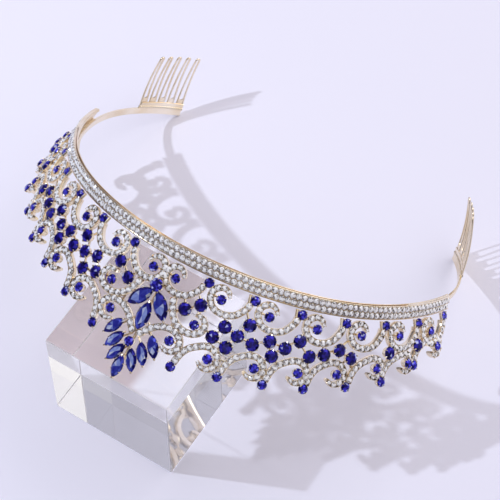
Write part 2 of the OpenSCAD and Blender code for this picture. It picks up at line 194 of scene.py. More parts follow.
# Columns: along, down
FRAME_SCROLL = [(5.9, 10.6), (6.6, 13), (7.9, 15.6), (9.8, 17.6), (12.4, 18.7), (15.1, 18.5),
                (17.2, 17), (17.7, 14.8), (16.4, 12.7), (13.9, 12.6)]
FAN_SCROLL = [(0.7, 26.2), (2.1, 24.5), (3.5, 22.6), (5.4, 20.9), (7.9, 19.9), (10.6, 20.1),
              (12.5, 21.6), (13.1, 23.9), (12.2, 25.8), (10.3, 26.6), (8.5, 25.9)]
# Columns: along, down, out
FRAME_STONE = (14.6, 15.7, -0.8)
FAN_STONE = (10, 23.3, 0.2)
FRAME_BAR = (17.6, 15.4)
FAN_BAR = (13, 23.2)

# Large round stones of one side. Columns: along, down, out
ROUND_STONES = [(10.2, 12.4, -0.8), (14.3, 9.1, 0.5), (20.8, 16.9, -1), (23.2, 12.6, -0.8),
                (25.5, 18.5, -1), (27.5, 13.8, 0), (29.9, 9.4, 0.3), (32.3, 14.8, 0.2), (36.9, 12.3, 0),
                (38.5, 16.5, 0.6), (41.8, 13.1, 0.2), (45.5, 9.8, 0.5), (49.5, 13.9, 0), (53.8, 12.5, 0.2),
                (58.6, 10.4, 0), (62.7, 12.5, 0.3), (76.8, 10.4, 0.3), (89.2, 8.7, 0.3)]
# As many of them have nodes of their own, each turned on from the last
OWN_ROUNDS = 12
ROUND_TURN = 11
# Bars between two large stones
ROUND_BARS = [(0, 1), (2, 3), (2, 4), (3, 5), (4, 5), (5, 6), (5, 7), (7, 8), (8, 9), (8, 10),
              (9, 10), (10, 11), (11, 12), (12, 13), (13, 14), (14, 15)]
# Bars from a large stone to a scroll. Columns: stone, along, down
SCROLL_BARS = [(0, 7.8, 14.6), (0, 8.6, 9.2), (1, 12.5, 6.7), (2, 18, 15.4), (3, 22, 9.6), (4, 22.2, 20.4),
               (6, 27.8, 5.9), (7, 32.6, 17.5), (8, 37, 9.3), (9, 37.1, 19.6), (9, 41.4, 18.2),
               (11, 47.2, 7.3), (12, 46.6, 16.4), (13, 53.6, 8.9), (14, 62.3, 6.6), (15, 60.4, 15.2),
               (15, 64.2, 15.9), (16, 79.5, 9), (16, 77.5, 13), (17, 94.5, 9), (17, 90.8, 10.9),
               (17, 90.8, 6.6)]
# Columns: along, down of one end, then of the other
TIE_BARS = [(4.8, 9, 6, 11.4), (8.2, 16.2, 8.6, 20), (13.2, 18.7, 11, 20.2), (12.8, 24.6, 14.8, 24.9),
            (3.2, 22.8, 2, 21.4), (2.6, 24, 4.6, 24.6), (8.6, 26, 7.6, 27), (14.1, 12.6, 14.9, 11.2),
            (24.6, 22.6, 27.4, 22.6), (37.2, 22.2, 39.4, 21.6), (49.4, 20.6, 51.4, 19.4),
            (61, 18.6, 63.2, 17.8), (74.7, 15.6, 76.6, 15.2), (87.4, 13.2, 89, 12.4), (1.2, 5, 0, 5),
            (3.5, 15, 7.6, 15), (6.5, 27.3, 3.2, 23.4), (4.5, 30.8, 0.9, 26.4), (2.5, 34.1, 0, 30)]
BAR_OUT = -1.35
BAR_RADIUS = 0.38
# Bars on the centre line. Columns: down of one end, down of the other
CENTRE_BARS = [(6, 16.5), (23, 36)]
CENTRE_RADIUS = 0.5
# The gold point below the tip leaf. Columns: down, out, radius
TIP_POINT = [(38, -1.2, 0.4), (41.2, -0.1, 0.4), (42.0, 0.35, 0.32)]

# Blue stones
LARGE = 4.35
SMALL = 3.25
PETAL_SIZE = (9.9, 4.65)
LEAF_SIZE = (8.0, 3.7)
# Marquise stones beside the centre line. Columns: along, down, turn, out
PETAL_SIDE = (3.5, 15, 38, 0.3)
LEAF_SIDES = [(6.5, 27.3, 32, 0.1), (4.5, 30.8, 30, 0.1), (2.5, 34.1, 27, 0.1)]
# Stones on the centre line. Columns: down, out
MIDDLE_PETAL = (20, 0.3)
TIP_LEAF = (37.7, 1)
TOP_ROUND = (9.4, 2.2)
FAN_ROUND = (29, 1.7)

# The cut of a stone. Shares of its outline at the base, the middle ring and the table, and
# heights of the base, the girdle, the middle ring and the table as shares of its width
ROUND_SHARES = (0.5, 0.8, 0.52)
ROUND_HEIGHTS = (-0.22, 0.03, 0.16, 0.25)
MARQUISE_SHARES = (0.6, 0.82, 0.62)
MARQUISE_HEIGHTS = (-0.24, 0.03, 0.18, 0.27)
BLUE_SIDES = 16
CLEAR_SIDES = 12
MARQUISE_SIDES = 20
# No stone is set quite true: the most that it may lie off level
BLUE_TIP = 5
CLEAR_TIP = 9

# The facet value of plain pieces
PLAIN_FACET = 0.5
# The darkest and lightest facet of a stone's table, crown and girdle facets, as values that paint the
# stone's reflections
CLEAR_SHADES = ((0.5, 1.0), (0.0, 0.8), (0.6, 1.0))
SMALL_SHADES = ((0.3, 0.8), (0.0, 1.0), (0.0, 0.75))
LARGE_SHADES = ((0.2, 0.65), (0.0, 0.95), (0.0, 0.7))
MARQUISE_SHADES = ((0.35, 1.0), (0.0, 0.7), (0.0, 0.3))
# The wall below the girdle, as a share of the darkest girdle facet
WALL_SHARE = 0.6
# How often painted light and dark take turns round a stone, and their shift from ring to ring in radians
ROUND_LOBES = 2
MARQUISE_LOBES = 1
RING_SHIFT = 1.2
# How far a facet may fall out of step, and where facets painted lit and unlit lie between dark and light
OUT_OF_STEP = 0.8
LIT = (0.7, 1)
UNLIT = (0, 0.3)
# Share of the facets that get a painted glint
PAINTED_GLINT_CHANCE = 0.03

# Round settings. Columns of the cup: share of the radius, share of the depth.
# Columns of the rim: share of the radius, height
SETTING_DEPTH = 1.8
SETTING_SIDES = 16
SETTING_CUP = [(0.45, -1), (0.8, -0.75)]
SETTING_RIM = [(0.97, -0.1), (0.97, 0.1), (0.8, 0.1), (0.7, -0.05)]
LARGE_CLAWS = 6
SMALL_CLAWS = 4
# A claw's foot, and its head with heights from the claw's top.
# Columns: off the stone's edge, height, share of the claw's radius
CLAW_FOOT = [(-0.1, -0.6, 1)]
CLAW_HEAD = [(0.12, -0.3, 1), (0.02, 0, 0.85), (-0.32, 0.14, 0.55)]
CLAW_SIDES = 6
CLAW_RISE = 0.1
CLAW_RADIUS = 0.09
# The height of a claw's top, as a share of the stone's width
CLAW_SHARE = 0.12

# Marquise settings. Columns of the rim: share of the outline, height
MARQUISE_DEPTH = 1.7
MARQUISE_BASE = 0.6
MARQUISE_RIM = [(0.85, -0.5), (0.97, 0.1), (0.82, 0.1), (0.75, -0.1)]
MARQUISE_RIM_SIDES = 24
MARQUISE_RISE = 0.12
# Claws at its ends and sides. Columns: share of the outline, height, radius
END_FOOT = [(0.92, -0.8, 0.26), (1.02, -0.1, 0.3)]
END_HEAD = [(1, 0, 0.26), (0.87, 0.16, 0.14)]
END_SIDES = 8
SIDE_FOOT = [(1, -0.7, 0.15), (1.03, 0.0, 0.16)]
SIDE_HEAD = [(1, 0, 0.14), (0.82, 0.14, 0.08)]
SIDE_PLACES = (-0.42, 0.42)

# Rods and stems: their sides, and a direction that none of them runs in
ROD_SIDES = 8
STEM_SIDES = 10
HELPER = (0.31, 0.47, 0.83)

# Colours of the stones by facet value. The blue is the blue stones' own colour; the dark and light steps,
# and the clear stones' whole ramp, paint reflections and glints. Columns: facet value, colour
CLEAR_COLOURS = [(0.0, (0.06, 0.045, 0.04)), (0.14, (0.36, 0.32, 0.31)), (0.5, (0.92, 0.9, 0.92)),
                 (0.75, (0.98, 0.98, 1.0))]
LARGE_COLOURS = [(0.0, (0.003, 0.002, 0.04)), (0.5, (0.013, 0.007, 0.18)), (0.95, (0.035, 0.025, 0.48)),
                 (1.0, (0.5, 0.55, 0.95))]
SMALL_COLOURS = [(0.0, (0.003, 0.002, 0.04)), (0.5, (0.02, 0.012, 0.28)), (0.9, (0.07, 0.06, 0.8)),
                 (1.0, (0.6, 0.65, 1.0))]
MARQUISE_COLOURS = [(0.0, (0.005, 0.004, 0.08)), (0.3, (0.018, 0.015, 0.32)), (0.6, (0.06, 0.08, 0.5)),
                    (0.92, (0.34, 0.44, 0.9)), (1.0, (0.8, 0.85, 1.0))]
CLEAR_ROUGHNESS = (0.02, 0.06)
BLUE_ROUGHNESS = (0.02, 0.08)
CLEAR_METALLIC = 0.0
LARGE_METALLIC = 0.3
BRIGHT_METALLIC = 0.5
CLEAR_INDEX = 1.9
BLUE_INDEX = 1.33
SCRATCH_SCALE = 900

# Other colours. Columns: place on the ramp, colour
GOLD_COLOURS = [(0.35, (0.88, 0.735, 0.52)), (0.65, (0.98, 0.88, 0.71))]
# Painted shade in the gold's recesses, by ambient occlusion
GOLD_RECESS_SHADE = [(0.2, (0.72, 0.66, 0.66)), (0.75, (1, 1, 1))]
GOLD_ROUGHNESS = (0.16, 0.32)
GOLD_SCALES = (120, 1500)
GOLD_DETAIL = 3
GOLD_BUMP = 0.05
GOLD_BUMP_STRENGTH = 0.25
RECESS_DEPTH = 0.9
RECESS_SAMPLES = 8
BLOCK_COLOURS = [(0.0, (0.97, 0.98, 0.99)), (1.0, (1.0, 1.0, 1.0))]
BLOCK_SCALE = 60
EDGE_COLOURS = [(0.0, (0.85, 0.84, 0.9)), (1.0, (1.0, 1.0, 1.0))]
EDGE_SCALE = 40
EDGE_ROUGHNESS = 0.35
EDGE_CLEARNESS = 0.4
TABLE_COLOURS = [(0.0, (0.83, 0.815, 0.93)), (1.0, (0.86, 0.845, 0.95))]
TABLE_SCALE = 2
TABLE_ROUGHNESS = 0.6
TABLE_GLOSS = 0.2

# The table's side in metres, and how far it lies under the block
TABLE_SIDE = 8
TABLE_DROP = 0.03

# The studio round the table: a pale wash from this side, soft patches in it, and a bright side
WASH_TOWARDS = (0.05, 0.4, 0.915)
WASH_COLOURS = [(0.1, (0.05, 0.045, 0.05)), (0.6, (0.88, 0.862, 0.865))]
PATCH_SCALE = 3
PATCH_DETAIL = 1
PATCH_COLOURS = [(0.42, (0.75, 0.74, 0.74)), (0.56, (1.0, 1.0, 1.0))]
WINDOW_TOWARDS = (1, 0, 0)
WINDOW_COLOURS = [(0.0, (0.6, 0.6, 0.7)), (0.25, (1.0, 1.0, 1.0)), (0.32, (1.42, 1.42, 1.4))]
STUDIO_STRENGTH = 1.02
# Columns: name, direction, distance and size in metres, watts, colour
LAMPS = [("key_light", (-0.5046, -0.2968, 0.6152), 0.849, 0.018, 2.8, (0.82, 0.89, 1.0)),
         ("back_softbox", (0.2, 0.75, 0.65), 1.1, 0.9, 4, (1.0, 0.97, 1.0))]
# The camera: place in metres, turns in degrees, lens and sensor in millimetres
CAMERA_PLACE = (0.1906, -0.28321, 0.57827)
CAMERA_TURN = (31.9704, 0.0699, 32.5673)
CAMERA_LENS = 139.89
CAMERA_SENSOR = 36

# The seed of all random draws
SEED = 7
rng = random.Random(SEED)


def arc_centre(i):
    if i == 0:
        return Vector((0, ARC_RADII[0]))
    sine, cosine = ARC_JOINTS[i - 1]
    return arc_centre(i - 1) + (ARC_RADII[i - 1] - ARC_RADII[i]) * Vector((sine, -cosine))


CENTRES = [arc_centre(i) for i in range(len(ARC_RADII))]
HEADINGS = [0] + [math.atan2(*joint) for joint in ARC_JOINTS]


def plan(distance):
    """Place and heading on the band's plan at a distance from its centre."""
    side = -1 if distance < 0 else 1
    left = abs(distance)
    for i, radius in enumerate(ARC_RADII):
        span = (HEADINGS[i + 1] - HEADINGS[i]) * radius if i < len(ARC_JOINTS) else math.inf
        if left <= span:
            break
        left -= span
    heading = HEADINGS[i] + left / radius
    centre = CENTRES[i]
    x = centre.x + radius * math.sin(heading)
    return Vector((side * x, centre.y - radius * math.cos(heading), 0)), side * heading


def outward(heading):
    return Vector((math.sin(heading), -math.cos(heading), 0))


def leaning(heading, lean):
    """Across, up and normal of a face that leans by an angle in radians."""
    across = Vector((math.cos(heading), math.sin(heading), 0))
    up = -math.sin(lean) * outward(heading) + Vector((0, 0, math.cos(lean)))
    normal = math.cos(lean) * outward(heading) + Vector((0, 0, math.sin(lean)))
    return across, up, normal


def axes(along):
    """Across, up and normal of the ornament's face."""
    return leaning(plan(along)[1], math.radians(LEAN_CENTRE + LEAN_RATE * abs(along)))


def spot(along, down, out=0.0):
    across, up, normal = axes(along)
    return plan(along)[0] - down * up + out * normal


def placed(x, y, z, origin):
    """A matrix with these axes and this origin."""
    matrix = Matrix((x, y, z)).transposed().to_4x4()
    matrix.translation = origin
    return matrix


def on_face(along, down, out, turn=0.0):
    """A matrix that puts a piece on the ornament's face, its Z off the face and its Y to the band."""
    return placed(*axes(along), spot(along, down, out)) @ Matrix.Rotation(math.radians(turn), 4, "Z")


def on_band(along, height, out):
    """The same on the band's own face, its Y to the band's upper edge."""
    place, heading = plan(along)
    slope = math.atan2(BAND_LEAN, BAND_HEIGHT)
    across, up, normal = leaning(heading, slope)
    return placed(across, up, normal, place + height / math.cos(slope) * up + out * normal)


def smooth(knots):
    """A curve through knots."""
    path = []
    last = len(knots) - 1
    for i in range(last):
        a, b, c, d = (Vector(knots[max(0, min(last, i + k))]) for k in (-1, 0, 1, 2))
        for j in range(CURVE_STEPS):
            t = j / CURVE_STEPS
            path.append(0.5 * (2 * b + (c - a) * t + (2 * a - 5 * b + 4 * c - d) * t * t
                               + (3 * b - a - 3 * c + d) * t ** 3))
    path.append(Vector(knots[last]))
    return path


IN_PLACE = Matrix.Translation(SHIFT) @ Matrix.Rotation(math.radians(-TILT), 4, "X")
METRES = Matrix.Scale(MM, 4)
MIRROR = Matrix.Scale(-1, 4, Vector((1, 0, 0)))


class Piece:
    """Collects points and faces in the tiara's frame, and makes one mesh of them.

    mirror: whether the other side of the tiara gets the same. angle: the piece is shaded smooth,
    apart from edges sharper than this many degrees.
    """

    def __init__(self, name, slot, material, mirror=True, angle=None):
        self.name = name
        self.slot = slot
        self.material = material
        self.mirror = mirror
        self.angle = angle
        self.points = []
        self.faces = []
        self.facets = []

    def add(self, shape, matrix=Matrix.Identity(4)):
        points, faces, facets = shape
        start = len(self.points)
        self.points += [matrix @ Vector(p) for p in points]
        self.faces += [tuple(start + i for i in face) for face in faces]
        self.facets += facets or [PLAIN_FACET] * len(faces)

    def build(self, *nodes):
        sides = [Matrix.Identity(4)] + ([MIRROR] if self.mirror else [])
        points = []
        faces = []
        facets = []
        for side in sides:
            start = len(points)
            points += [METRES @ IN_PLACE @ side @ p for p in self.points]
            for face in self.faces:
                turned = face if side is sides[0] else tuple(reversed(face))
                faces.append(tuple(start + i for i in turned))
            facets += self.facets
        mesh = bpy.data.meshes.new(self.name)
        mesh.from_pydata([tuple(p) for p in points], [], faces)
        mesh.update()
        shell = bmesh.new()
        shell.from_mesh(mesh)
        bmesh.ops.recalc_face_normals(shell, faces=shell.faces)
        shell.to_mesh(mesh)
        shell.free()
        attribute = mesh.attributes.new("facet", "FLOAT", "FACE")
        attribute.data.foreach_set("value", facets)
        if self.angle:
            mesh.polygons.foreach_set("use_smooth", [True] * len(mesh.polygons))
            mesh.set_sharp_from_angle(angle=math.radians(self.angle))
        piece = bpy.data.objects.new(self.name, mesh)
        bpy.context.scene.collection.objects.link(piece)
        mesh.materials.append(self.material)
        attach(piece, "root")
        if nodes:
            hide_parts(*nodes)


def rings_to_faces(count, sides):
    """Faces of a closed tube of rings, with both ends capped."""
    faces = []
    for i in range(count - 1):
        for j in range(sides):
            k = (j + 1) % sides
            faces.append((sides * i + j, sides * i + k, sides * (i + 1) + k, sides * (i + 1) + j))
    faces.append(tuple(reversed(range(sides))))
    faces.append(tuple(range(sides * (count - 1), sides * count)))
    return faces


def tube(places, radii, sides, helper=HELPER):
    """A rod through places, round in section. The helper is a direction that it never runs in."""
    points = []
    helper = Vector(helper)
    for i, place in enumerate(places):
        ahead = (Vector(places[min(len(places) - 1, i + 1)]) - Vector(places[max(0, i - 1)])).normalized()
        side = ahead.cross(helper).normalized()
        other = ahead.cross(side)
        for j in range(sides):
            turn = 2 * math.pi * j / sides
            points.append(Vector(place) + radii[i] * (math.cos(turn) * side + math.sin(turn) * other))
    return points, rings_to_faces(len(places), sides), None


def sweep(section, first, last, step):
    """A section carried round the plan. The section gives a list of out, height for a distance."""
    count = math.ceil((last - first) / step) + 1
    points = []
    for i in range(count):
        distance = first + (last - first) * i / (count - 1)
        place, heading = plan(distance)
        ring = section(distance)
        points += [place + out * outward(heading) + Vector((0, 0, height)) for out, height in ring]
    return points, rings_to_faces(count, len(ring)), None


def ring_outline(radius, n):
    turns = [2 * math.pi * i / n for i in range(n)]
    return [(radius * math.cos(turn), radius * math.sin(turn)) for turn in turns]


def lens_outline(size, n):
    """The outline of a marquise of a length and a width, pointed at both ends."""
    half = size[0] / 2
    rise = size[1] / 2
    radius = (half * half + rise * rise) / (2 * rise)
    reach = math.asin(half / radius)
    points = []
    for side in (1, -1):
        for i in range(n // 2):
            turn = side * reach * (4 * i / n - 1)
            points.append((side * (radius * math.cos(turn) - radius + rise), radius * math.sin(turn)))
    return points


def lathe(profile, sides):
    """A round piece. Profile columns: radius, height."""
    points = [(x, y, height) for radius, height in profile for x, y in ring_outline(radius, sides)]
    return points, rings_to_faces(len(profile), sides), None


def bead(radius):
    """A small ball."""
    turns = [math.radians(tilt) for tilt in BEAD_TILTS]
    return lathe([(radius * math.cos(t), radius * math.sin(t)) for t in turns], BEAD_SIDES)


def painted_gleam(shades, turn, phase, lobes):
    """A facet's painted shade, which stands in for reflections. Light and dark take turns round a stone,
    with a few facets out of step.
    """
    dark, light = shades
    lit = math.cos(lobes * (turn - phase)) + rng.uniform(-OUT_OF_STEP, OUT_OF_STEP) > 0
    # A painted glint: the facet takes the lightest colour of its ramp
    if rng.random() < PAINTED_GLINT_CHANCE:
        return 1.0
    return dark + (light - dark) * rng.uniform(*(LIT if lit else UNLIT))


def cut_stone(outline, shares, heights, shades, lobes):
    """A cut stone over an outline of an even number of points.

    shares: width of the base, the middle ring and the table. heights: base, girdle, middle ring, table.
    shades: darkest and lightest facet of the table, the crown and the girdle facets, in values that paint
    the reflections.
    """
    phase = rng.uniform(0, 2 * math.pi)
    n = len(outline)
    half = n // 2
    base, middle, table = shares
    low, girdle, belt, top = heights
    points = [(base * x, base * y, low) for x, y in outline]
    points += [(x, y, girdle) for x, y in outline]
    points += [(middle * x, middle * y, belt) for x, y in outline[1::2]]
    points += [(table * x, table * y, top) for x, y in outline[::2]]
    points.append((0, 0, top))
    ring, belts, tops = n, 2 * n, 2 * n + half
    faces = [tuple(reversed(range(n)))]
    facets = [0.0]
    for i in range(n):
        j = (i + 1) % n
        faces.append((i, j, ring + j, ring + i))
        facets.append(WALL_SHARE * shades[2][0])
    for i in range(half):
        before = (i - 1) % half
        after = (i + 1) % half
        main = ring + 2 * i
        odd = main + 1
        even = ring + (2 * i + 2) % n
        turn = 2 * math.pi * i / half
        faces.append((tops + i, belts + before, main, belts + i))
        faces.append((tops + i, belts + i, tops + after))
        facets += [painted_gleam(shades[1], turn, phase, lobes) for _ in range(2)]
        faces.append((belts + i, main, odd))
        faces.append((belts + i, odd, even))
        facets += [painted_gleam(shades[2], turn, phase + RING_SHIFT, lobes) for _ in range(2)]
        faces.append((tops + half, tops + i, tops + after))
        facets.append(painted_gleam(shades[0], turn, phase + 2 * RING_SHIFT, lobes))
    return points, faces, facets


def round_stone(size, shades, n=BLUE_SIDES):
    heights = [share * size for share in ROUND_HEIGHTS]
    return cut_stone(ring_outline(size / 2, n), ROUND_SHARES, heights, shades, ROUND_LOBES)


def marquise(size):
    heights = [share * size[1] for share in MARQUISE_HEIGHTS]
    outline = lens_outline(size, MARQUISE_SIDES)
    return cut_stone(outline, MARQUISE_SHARES, heights, MARQUISE_SHADES, MARQUISE_LOBES)


def tipped(most):
    """A turn of at most a few degrees off level, as no stone is set quite true."""
    axis = Vector((rng.uniform(-1, 1), rng.uniform(-1, 1), 0)).normalized()
    return Matrix.Rotation(math.radians(rng.uniform(0, most)), 4, axis)


def new_material(name):
    material = bpy.data.materials.new(name)
    material.use_nodes = True
    return material, material.node_tree, material.node_tree.nodes["Principled BSDF"]


def feed(tree, socket, value):
    """Gives a socket a value, or links another node's output to it."""
    if isinstance(value, bpy.types.NodeSocket):
        tree.links.new(value, socket)
    else:
        socket.default_value = value


def coordinates(tree, kind):
    return tree.nodes.new("ShaderNodeTexCoord").outputs[kind]


def ramp(tree, value, stops):
    """Colours along a value. Columns of the stops: place, colour."""
    node = tree.nodes.new("ShaderNodeValToRGB")
    elements = node.color_ramp.elements
    while len(elements) < len(stops):
        elements.new(0.5)
    for element, (place, colour) in zip(elements, stops):
        element.position = place
        element.color = (*colour, 1)
    tree.links.new(value, node.inputs["Fac"])
    return node.outputs["Color"]


def noise(tree, scale, where=None, detail=2):
    node = tree.nodes.new("ShaderNodeTexNoise")
    node.inputs["Scale"].default_value = scale
    node.inputs["Detail"].default_value = detail
    if where:
        tree.links.new(where, node.inputs["Vector"])
    return node.outputs["Fac"]


def mapped(tree, value, side, low, high):
    """A value between two limits, which belong to its "From" or its "To" side."""
    node = tree.nodes.new("ShaderNodeMapRange")
    node.inputs[f"{side} Min"].default_value = low
    node.inputs[f"{side} Max"].default_value = high
    tree.links.new(value, node.inputs["Value"])
    return node.outputs["Result"]


def blended(tree, share, first, second, blend_type="MIX"):
    """Two colours mixed. Each of the three may be a value or another node's output."""
    node = tree.nodes.new("ShaderNodeMix")
    node.data_type = "RGBA"
    node.blend_type = blend_type
    # The colour sockets of this node have the numbers 6 and 7, and its colour output is number 2
    for number, value in ((0, share), (6, first), (7, second)):
        feed(tree, node.inputs[number], value)
    return node.outputs[2]


def stone_material(name, stops, metallic, roughness=BLUE_ROUGHNESS, index=BLUE_INDEX):
    """A shiny material whose colour follows the facet value, which paints the facets' reflections and
    glints, with fine scratches in its roughness.
    """
    material, tree, shader = new_material(name)
    facet = tree.nodes.new("ShaderNodeAttribute")
    facet.attribute_name = "facet"
    scratches = noise(tree, SCRATCH_SCALE, coordinates(tree, "Object"))
    # Painted reflections: the facet value picks a dark or light colour for each facet
    feed(tree, shader.inputs["Base Color"], ramp(tree, facet.outputs["Fac"], stops))
    feed(tree, shader.inputs["Roughness"], mapped(tree, scratches, "To", *roughness))
    shader.inputs["Metallic"].default_value = metallic
    shader.inputs["IOR"].default_value = index
    return material


def gold_material():
    """Pale champagne gold plate with slightly uneven polish and colour, and shade painted into its
    recesses.
    """
    material, tree, shader = new_material("champagne_gold")
    where = coordinates(tree, "Object")
    broad = noise(tree, GOLD_SCALES[0], where)
    fine = noise(tree, GOLD_SCALES[1], where, GOLD_DETAIL)
    # Painted shade: ambient occlusion darkens the colour in recesses and between parts
    recess = tree.nodes.new("ShaderNodeAmbientOcclusion")
    recess.samples = RECESS_SAMPLES
    recess.inputs["Distance"].default_value = RECESS_DEPTH * MM
    depth = ramp(tree, recess.outputs["AO"], GOLD_RECESS_SHADE)
    shade = blended(tree, 1, ramp(tree, broad, GOLD_COLOURS), depth, "MULTIPLY")
    rise = tree.nodes.new("ShaderNodeBump")
    rise.inputs["Strength"].default_value = GOLD_BUMP_STRENGTH
    rise.inputs["Distance"].default_value = GOLD_BUMP * MM
    feed(tree, rise.inputs["Height"], fine)
    feed(tree, shader.inputs["Base Color"], shade)
    feed(tree, shader.inputs["Roughness"], mapped(tree, fine, "To", *GOLD_ROUGHNESS))
    feed(tree, shader.inputs["Normal"], rise.outputs["Normal"])
    shader.inputs["Metallic"].default_value = 1.0
    return material


def block_material():
    """Polished clear acrylic, and the light that it lets through to the table.

    Light that enters the top leaves by the base, and only light that enters a side face high up
    leaves by the face across from it, low down. The rest stays inside, so the block has a dark shadow
    with a bright patch beside it. Shadow rays and diffuse rays therefore pass straight through, and
    take the colour of the place where they cross the block's surface.
    """
    material, tree, shader = new_material("clear_acrylic")
    nodes = tree.nodes
    shader.inputs["Transmission Weight"].default_value = 1.0
    shader.inputs["IOR"].default_value = BLOCK_INDEX
    shader.inputs["Roughness"].default_value = 0.0
    where = coordinates(tree, "Object")
    parts = nodes.new("ShaderNodeSeparateXYZ")
    tree.links.new(where, parts.inputs["Vector"])

    def past(axis, low, high):
        """Nought below a place along an axis and one above it, in millimetres."""
        return mapped(tree, parts.outputs[axis], "From", MM * low, MM * high)

    def joined(operation, a, b):
        node = nodes.new("ShaderNodeMath")
        node.operation = operation
        node.use_clamp = True
        for socket, value in zip(node.inputs, (a, b)):
            feed(tree, socket, value)
        return node.outputs["Value"]

    def skin(axis, face, depths):
        """One at a face across an axis, and nought deeper than its skin."""
        return past(axis, *(face - depth for depth in depths))

    def unlit(axis, middle, size, across, start):
        """One where a side face lets no light out: above its lit part, or before that part starts."""
        dark = joined("MAXIMUM", past("Z", *PATCH_TOP), joined("SUBTRACT", 1.0, past(across, *start)))
        return joined("MULTIPLY", skin(axis, middle + size / 2, SIDE_SKIN), dark)

    cast = ramp(tree, noise(tree, BLOCK_SCALE, where), BLOCK_COLOURS)
    tint = blended(tree, skin("Z", BLOCK_SIZE[2], TOP_SKIN), cast, TOP_TINT)
    feed(tree, shader.inputs["Base Color"], tint)
    lit = joined("MULTIPLY", past("X", *BASE_LEFT), past("Y", *BASE_FRONT))
    base = blended(tree, lit, UNDER_BLOCK, LIT_BASE)
    through = blended(tree, past("Z", *BASE_SKIN), base, BLOCK_CLEAR)
    right = unlit("X", BLOCK_MIDDLE[0], BLOCK_SIZE[0], "Y", PATCH_FRONT)
    back = unlit("Y", BLOCK_MIDDLE[1], BLOCK_SIZE[1], "X", PATCH_LEFT)
    clear = nodes.new("ShaderNodeBsdfTransparent")
    # Painted shadow and light: this colour, set by place, shapes the block's shadow and the bright patch
    # on the table
    feed(tree, clear.inputs["Color"], blended(tree, joined("ADD", right, back), through, BLOCK_SHADOW))
    path = nodes.new("ShaderNodeLightPath")
    mix = nodes.new("ShaderNodeMixShader")
    output = nodes["Material Output"]
    unseen = joined("MAXIMUM", path.outputs["Is Shadow Ray"], path.outputs["Is Diffuse Ray"])
    tree.links.new(unseen, mix.inputs["Fac"])
    tree.links.new(shader.outputs["BSDF"], mix.inputs[1])
    tree.links.new(clear.outputs["BSDF"], mix.inputs[2])
    tree.links.new(mix.outputs["Shader"], output.inputs["Surface"])
    return material


def edge_material():
    """The block's sawn and eased edges, which scatter the light and look white."""
    material, tree, shader = new_material("clear_acrylic_edge")
    feed(tree, shader.inputs["Base Color"], ramp(tree, noise(tree, EDGE_SCALE), EDGE_COLOURS))
    shader.inputs["Roughness"].default_value = EDGE_ROUGHNESS
    shader.inputs["Transmission Weight"].default_value = EDGE_CLEARNESS
    shader.inputs["IOR"].default_value = BLOCK_INDEX
    return material


def table_material():
    material, tree, shader = new_material("pale_table")
    feed(tree, shader.inputs["Base Color"], ramp(tree, noise(tree, TABLE_SCALE), TABLE_COLOURS))
    shader.inputs["Roughness"].default_value = TABLE_ROUGHNESS
    shader.inputs["Specular IOR Level"].default_value = TABLE_GLOSS
    return material


# Looks. Columns: slot, material
GOLD = ("gold_metal", gold_material())
CLEAR = ("clear_crystal", stone_material("clear_crystal", CLEAR_COLOURS, CLEAR_METALLIC,
                                         CLEAR_ROUGHNESS, CLEAR_INDEX))
LARGE_BLUE = ("blue_crystal", stone_material("royal_blue_crystal", LARGE_COLOURS, LARGE_METALLIC))
SMALL_BLUE = ("blue_crystal", stone_material("bright_blue_crystal", SMALL_COLOURS, BRIGHT_METALLIC))
MARQUISE_BLUE = ("blue_marquise", stone_material("marquise_crystal", MARQUISE_COLOURS, BRIGHT_METALLIC))


def scroll_pieces(metal, stones, knots, step):
    """One scroll with its row of clear stones and the beads between them, sunk by a step."""
    path = smooth(knots)
    places = [spot(p.x, p.y) for p in path]
    count = len(places)
    lengths = [0.0]
    for a, b in zip(places, places[1:]):
        lengths.append(lengths[-1] + (b - a).length)
    whole = lengths[-1]

    def width(i):
        left = (whole - lengths[i]) / TAPER_LENGTH
        return TIP_WIDTH + (SCROLL_WIDTH - TIP_WIDTH) * math.sqrt(min(1, left))

    section = SCROLL_SECTION + [(-x, z) for x, z in reversed(SCROLL_SECTION)]
    frames = []
    points = []
    for i in range(count):
        ahead = (places[min(count - 1, i + 1)] - places[max(0, i - 1)]).normalized()
        normal = axes(path[i].x)[2]
        side = normal.cross(ahead).normalized()
        frames.append((ahead, side, normal))
        for x, z in section:
            points.append(places[i] + x * width(i) / 2 * side + (z - step) * normal)
    metal.add((points, rings_to_faces(count, len(section)), None))

    travelled = CLEAR_START
    while travelled < whole - CLEAR_END:
        i = max(k for k in range(count) if lengths[k] <= travelled)
        ahead, side, normal = frames[i]
        place = places[i] + (travelled - lengths[i]) * ahead
        size = min(CLEAR_LARGEST, CLEAR_SHARE * width(i))
        seat = placed(side, -ahead, normal, place - step * normal)
        stones.add(round_stone(size, CLEAR_SHADES, CLEAR_SIDES), seat @ tipped(CLEAR_TIP))
        for hand in (-1, 1):
            aside = hand * BEAD_ASIDE * width(i) * side
            middle = place + BEAD_AHEAD * size * ahead + aside + (BEAD_OUT - step) * normal
            metal.add(bead(BEAD_SHARE * width(i)), Matrix.Translation(middle))
        travelled += size + CLEAR_GAP


def rod(metal, a, b, radius=BAR_RADIUS):
    """A bar between two places. Further columns of a place are left out."""
    ends = [spot(*a[:2], BAR_OUT), spot(*b[:2], BAR_OUT)]
    metal.add(tube(ends, [radius, radius], ROD_SIDES))


def shifted(place, offset, scale=1):
    return [place[0] + scale * offset[0], place[1] + scale * offset[1]]


def bent(foot, head, top):
    """The steps of a claw from its foot to its tip. The head's heights count from the claw's top."""
    return foot + [(reach, top + rise, thick) for reach, rise, thick in head]


